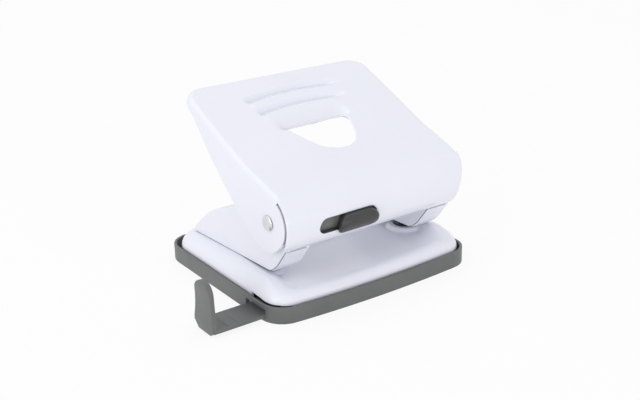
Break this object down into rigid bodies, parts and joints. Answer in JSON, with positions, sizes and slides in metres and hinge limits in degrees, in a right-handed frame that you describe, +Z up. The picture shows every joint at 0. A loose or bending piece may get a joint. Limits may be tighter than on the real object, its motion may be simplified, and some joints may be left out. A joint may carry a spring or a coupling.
{
  "type": "two-hole punch",
  "caption": "Desk punch with a pressed steel lever over two sprung punch pins, a hinged base plate on a chip tray, a sliding lock and a pull-out paper guide.",
  "frame": {"origin": "middle of the tray's foot rim, in the plane that the punch stands on", "axes": "+X to the right along the width, +Y to the back, away from the side where paper goes in, +Z up"},
  "size_m": [0.1402, 0.1042, 0.0863],
  "materials": {
    "white_paint": "gloss",
    "grey_plastic": "satin",
    "pad_rubber": "matte",
    "bare_steel": "satin",
    "tool_steel": "satin",
    "brass": "satin"
  },
  "bodies": {
    "tray": {"chip_tray": "grey_plastic", "nonslip_pads": "pad_rubber"},
    "guide": {"paper_guide": "grey_plastic"},
    "frame": {"base_plate": "white_paint", "hinge_pins": "bare_steel", "left_die_bush": "tool_steel", "right_die_bush": "tool_steel", "left_bracket": "white_paint", "right_bracket": "white_paint", "bracket_rivets": "bare_steel", "left_guide_bush": "brass", "right_guide_bush": "brass", "left_return_spring": "bare_steel", "right_return_spring": "bare_steel"},
    "lever": {"lever_handle": "white_paint", "pivot_shaft": "bare_steel", "pivot_washers": "bare_steel", "pusher_bar": "bare_steel"},
    "lock": {"lock_slider": "grey_plastic", "lock_plate": "grey_plastic"},
    "left_punch": {"left_punch_pin": "tool_steel", "left_spring_seat": "bare_steel", "left_circlip": "tool_steel"},
    "right_punch": {"right_punch_pin": "tool_steel", "right_spring_seat": "bare_steel", "right_circlip": "tool_steel"}
  },
  "joints": [
    {"name": "frame_lift", "type": "hinge", "parent": "tray", "child": "frame", "pos_m": [0, 0.0481, 0.0078], "axis": [-1, 0, 0], "range_deg": [0, 60]},
    {"name": "lever_press", "type": "hinge", "parent": "frame", "child": "lever", "pos_m": [0, -0.0362, 0.0445], "axis": [-1, 0, 0], "range_deg": [0, 19], "stiffness_Nm_per_rad": 1.5, "springref_deg": -9.45},
    {"name": "lock_slide", "type": "slide", "parent": "lever", "child": "lock", "axis": [-1, 0, 0], "range_m": [0, 0.01]},
    {"name": "guide_slide", "type": "slide", "parent": "tray", "child": "guide", "axis": [-1, 0, 0], "range_m": [-0.022, 0.06]},
    {"name": "left_punch_slide", "type": "slide", "parent": "frame", "child": "left_punch", "axis": [0, 0, -1], "range_m": [0, 0.0061], "deforming": ["left_return_spring"]},
    {"name": "right_punch_slide", "type": "slide", "parent": "frame", "child": "right_punch", "axis": [0, 0, -1], "range_m": [0, 0.0061], "deforming": ["right_return_spring"]}
  ],
  "couplings": [
    {"joint": "left_punch_slide", "follows": "lever_press", "m_per_rad": 0.0182},
    {"joint": "right_punch_slide", "follows": "lever_press", "m_per_rad": 0.0182}
  ]
}
